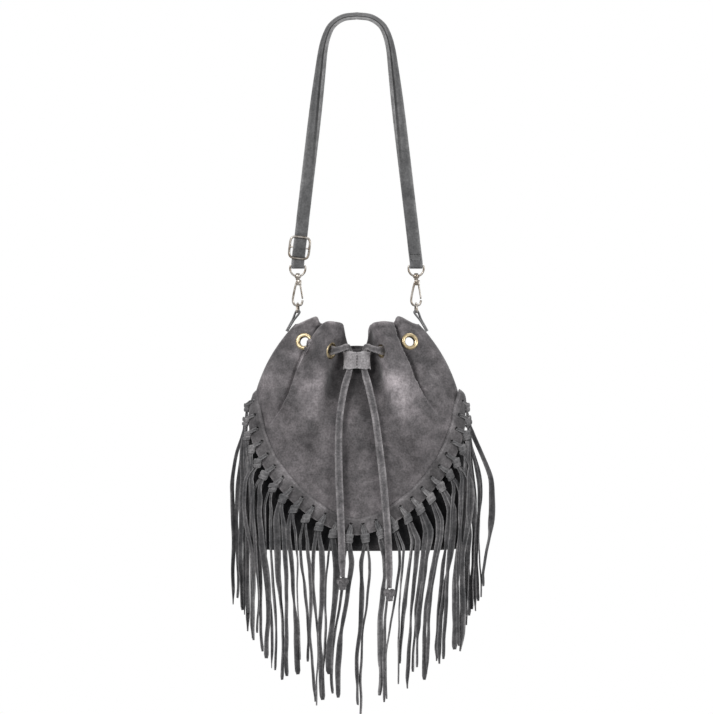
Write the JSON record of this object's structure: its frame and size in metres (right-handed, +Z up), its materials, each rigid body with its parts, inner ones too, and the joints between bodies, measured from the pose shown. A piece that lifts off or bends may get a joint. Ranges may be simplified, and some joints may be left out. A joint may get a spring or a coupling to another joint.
{
  "type": "fringed suede bag",
  "caption": "Drawstring pouch of soft suede with a laced curved hem, long knotted fringe, metal eyelets and a thin adjustable shoulder strap on swivel hooks.",
  "frame": {"origin": "underside of the strap's crown, where a shoulder or a peg holds the bag", "axes": "+Z up along the strap, -Y out of the laced front, +X to the right seen from the front"},
  "size_m": [0.2886, 0.1201, 0.7643],
  "materials": {
    "suede": "matte brushed suede",
    "dark_suede": "matte dark suede",
    "strap_leather": "matte grey leather",
    "nickel": "polished, slightly aged nickel plate",
    "brass": "aged brass"
  },
  "bodies": {
    "strap": {"shoulder_strap": "strap_leather", "strap_slider": "nickel"},
    "bag": {"gathered_panel": "suede", "lower_pouch": "dark_suede", "laced_band": "suede", "fringe_strand_01": "suede", "fringe_strand_02": "suede", "fringe_strand_03": "suede", "fringe_strand_04": "suede", "fringe_strand_05": "suede", "fringe_strand_06": "suede", "fringe_strand_07": "suede", "fringe_strand_08": "suede", "fringe_strand_09": "suede", "fringe_strand_10": "suede", "fringe_strand_11": "suede", "fringe_strand_12": "suede", "fringe_strand_13": "suede", "fringe_strand_14": "suede", "fringe_strand_15": "suede", "fringe_strand_16": "suede", "fringe_strand_17": "suede", "fringe_strand_18": "suede", "fringe_strand_19": "suede", "fringe_strand_20": "suede", "fringe_strand_21": "suede", "fringe_strand_22": "suede", "fringe_strand_23": "suede", "fringe_strand_24": "suede", "fringe_strand_25": "suede", "fringe_strand_26": "suede", "front_left_inner_eyelet": "brass", "front_left_outer_eyelet": "brass", "front_right_inner_eyelet": "brass", "front_right_outer_eyelet": "brass", "back_left_inner_eyelet": "brass", "back_left_outer_eyelet": "brass", "back_right_inner_eyelet": "brass", "back_right_outer_eyelet": "brass", "left_bag_ring": "nickel", "right_bag_ring": "nickel", "left_ring_tab": "strap_leather", "right_ring_tab": "strap_leather", "drawstring": "strap_leather", "left_tail_knot": "strap_leather", "right_tail_knot": "strap_leather", "cord_keeper": "suede"},
    "left_loop": {"left_strap_loop": "nickel"},
    "left_hook": {"left_snap_hook": "nickel", "left_gate_rivet": "nickel"},
    "left_gate": {"left_hook_gate": "nickel"},
    "right_loop": {"right_strap_loop": "nickel"},
    "right_hook": {"right_snap_hook": "nickel", "right_gate_rivet": "nickel"},
    "right_gate": {"right_hook_gate": "nickel"}
  },
  "joints": [
    {"name": "bag_swing", "type": "hinge", "parent": "strap", "child": "bag", "pos_m": [0, 0, -0.274], "axis": [1, 0, 0], "range_deg": [-25, 25]},
    {"name": "left_loop_swing", "type": "hinge", "parent": "strap", "child": "left_loop", "pos_m": [-0.065, 0, -0.274], "axis": [1, 0, 0], "range_deg": [-25, 25]},
    {"name": "left_swivel", "type": "hinge", "parent": "left_loop", "child": "left_hook", "pos_m": [-0.065, 0, -0.2854], "axis": [0, 0, 1], "range_deg": [-40, 40]},
    {"name": "left_gate_pivot", "type": "hinge", "parent": "left_hook", "child": "left_gate", "pos_m": [-0.0624, 0, -0.2939], "axis": [0, 1, 0], "range_deg": [0, 22], "stiffness_Nm_per_rad": 0.002, "springref_deg": -9.74},
    {"name": "right_loop_swing", "type": "hinge", "parent": "strap", "child": "right_loop", "pos_m": [0.065, 0, -0.274], "axis": [1, 0, 0], "range_deg": [-25, 25]},
    {"name": "right_swivel", "type": "hinge", "parent": "right_loop", "child": "right_hook", "pos_m": [0.065, 0, -0.2854], "axis": [0, 0, 1], "range_deg": [-40, 40]},
    {"name": "right_gate_pivot", "type": "hinge", "parent": "right_hook", "child": "right_gate", "pos_m": [0.0676, 0, -0.2939], "axis": [0, 1, 0], "range_deg": [0, 22], "stiffness_Nm_per_rad": 0.002, "springref_deg": -9.74}
  ],
  "couplings": [
    {"joint": "left_loop_swing", "follows": "bag_swing", "ratio": 1},
    {"joint": "right_loop_swing", "follows": "bag_swing", "ratio": 1}
  ]
}
